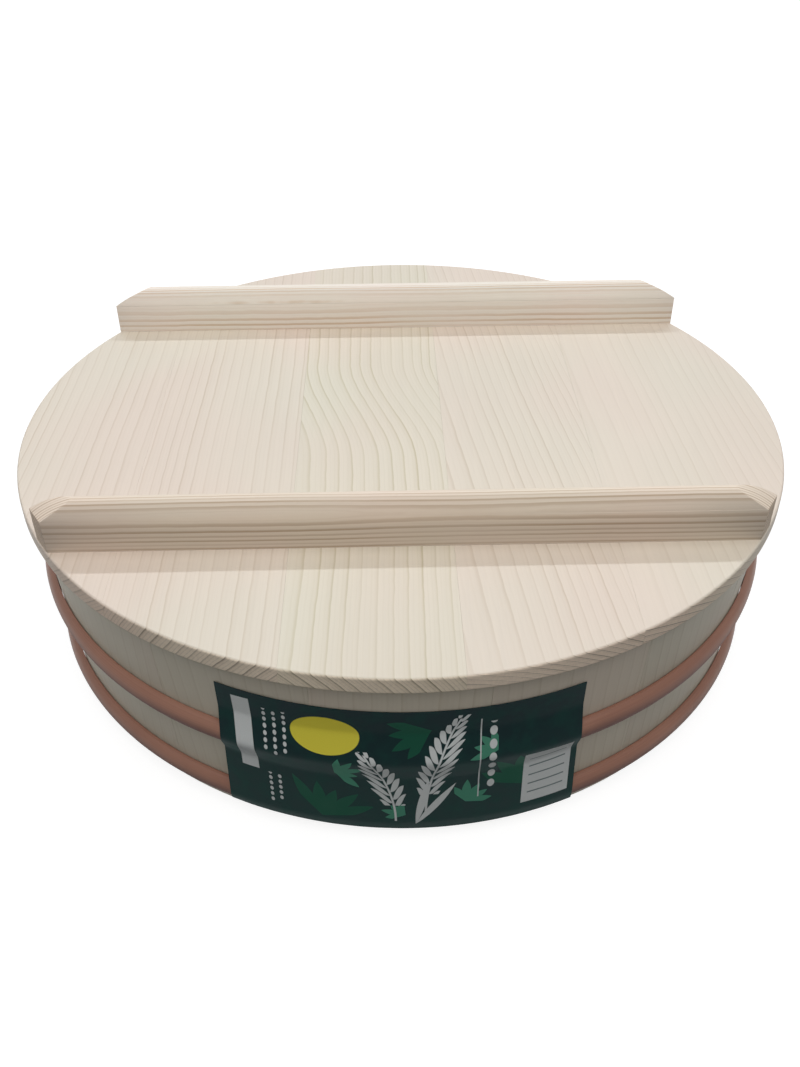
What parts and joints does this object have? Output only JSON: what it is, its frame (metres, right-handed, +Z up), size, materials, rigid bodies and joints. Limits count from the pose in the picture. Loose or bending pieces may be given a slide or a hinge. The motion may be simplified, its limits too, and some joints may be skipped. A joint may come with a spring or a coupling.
{
  "type": "wooden rice tub",
  "caption": "Low round coopered wooden rice tub with two half-round hoops, a dark printed label on the front and a flat lift-off lid on two raised battens.",
  "frame": {"origin": "middle of the foot ring, on the surface the tub stands on", "axes": "+Z up along the tub's axis, -Y towards the label, the lid's battens along X"},
  "size_m": [0.36, 0.36, 0.1223],
  "materials": {
    "stave_wood": "planed bare softwood",
    "floor_wood": "planed bare softwood",
    "lid_wood": "planed bare softwood",
    "batten_wood": "planed bare softwood",
    "bamboo": "whittled bamboo",
    "hoop_plastic": "satin red-brown",
    "label_paper": "smooth dark print"
  },
  "bodies": {
    "tub": {"stave_01": "stave_wood", "stave_02": "stave_wood", "stave_03": "stave_wood", "stave_04": "stave_wood", "stave_05": "stave_wood", "stave_06": "stave_wood", "stave_07": "stave_wood", "stave_08": "stave_wood", "stave_09": "stave_wood", "stave_10": "stave_wood", "stave_11": "stave_wood", "stave_12": "stave_wood", "stave_13": "stave_wood", "stave_14": "stave_wood", "stave_15": "stave_wood", "stave_16": "stave_wood", "stave_pin_01": "bamboo", "stave_pin_02": "bamboo", "stave_pin_03": "bamboo", "stave_pin_04": "bamboo", "stave_pin_05": "bamboo", "stave_pin_06": "bamboo", "stave_pin_07": "bamboo", "stave_pin_08": "bamboo", "stave_pin_09": "bamboo", "stave_pin_10": "bamboo", "stave_pin_11": "bamboo", "stave_pin_12": "bamboo", "stave_pin_13": "bamboo", "stave_pin_14": "bamboo", "stave_pin_15": "bamboo", "stave_pin_16": "bamboo", "hoop_lower": "hoop_plastic", "hoop_upper": "hoop_plastic", "floor_board_1": "floor_wood", "floor_board_2": "floor_wood", "floor_board_3": "floor_wood", "floor_board_4": "floor_wood", "floor_dowel_1": "bamboo", "floor_dowel_2": "bamboo", "floor_dowel_3": "bamboo", "label_band": "label_paper"},
    "lid": {"lid_board_1": "lid_wood", "lid_board_2": "lid_wood", "lid_board_3": "lid_wood", "lid_board_4": "lid_wood", "lid_board_5": "lid_wood", "batten_front": "batten_wood", "batten_back": "batten_wood", "batten_peg_front_1": "bamboo", "batten_peg_front_2": "bamboo", "batten_peg_front_3": "bamboo", "batten_peg_front_4": "bamboo", "batten_peg_front_5": "bamboo", "batten_peg_back_1": "bamboo", "batten_peg_back_2": "bamboo", "batten_peg_back_3": "bamboo", "batten_peg_back_4": "bamboo", "batten_peg_back_5": "bamboo"}
  },
  "joints": [
    {"name": "lid_lift", "type": "slide", "parent": "tub", "child": "lid", "axis": [0, 0, 1], "range_m": [0, 0.2]}
  ]
}
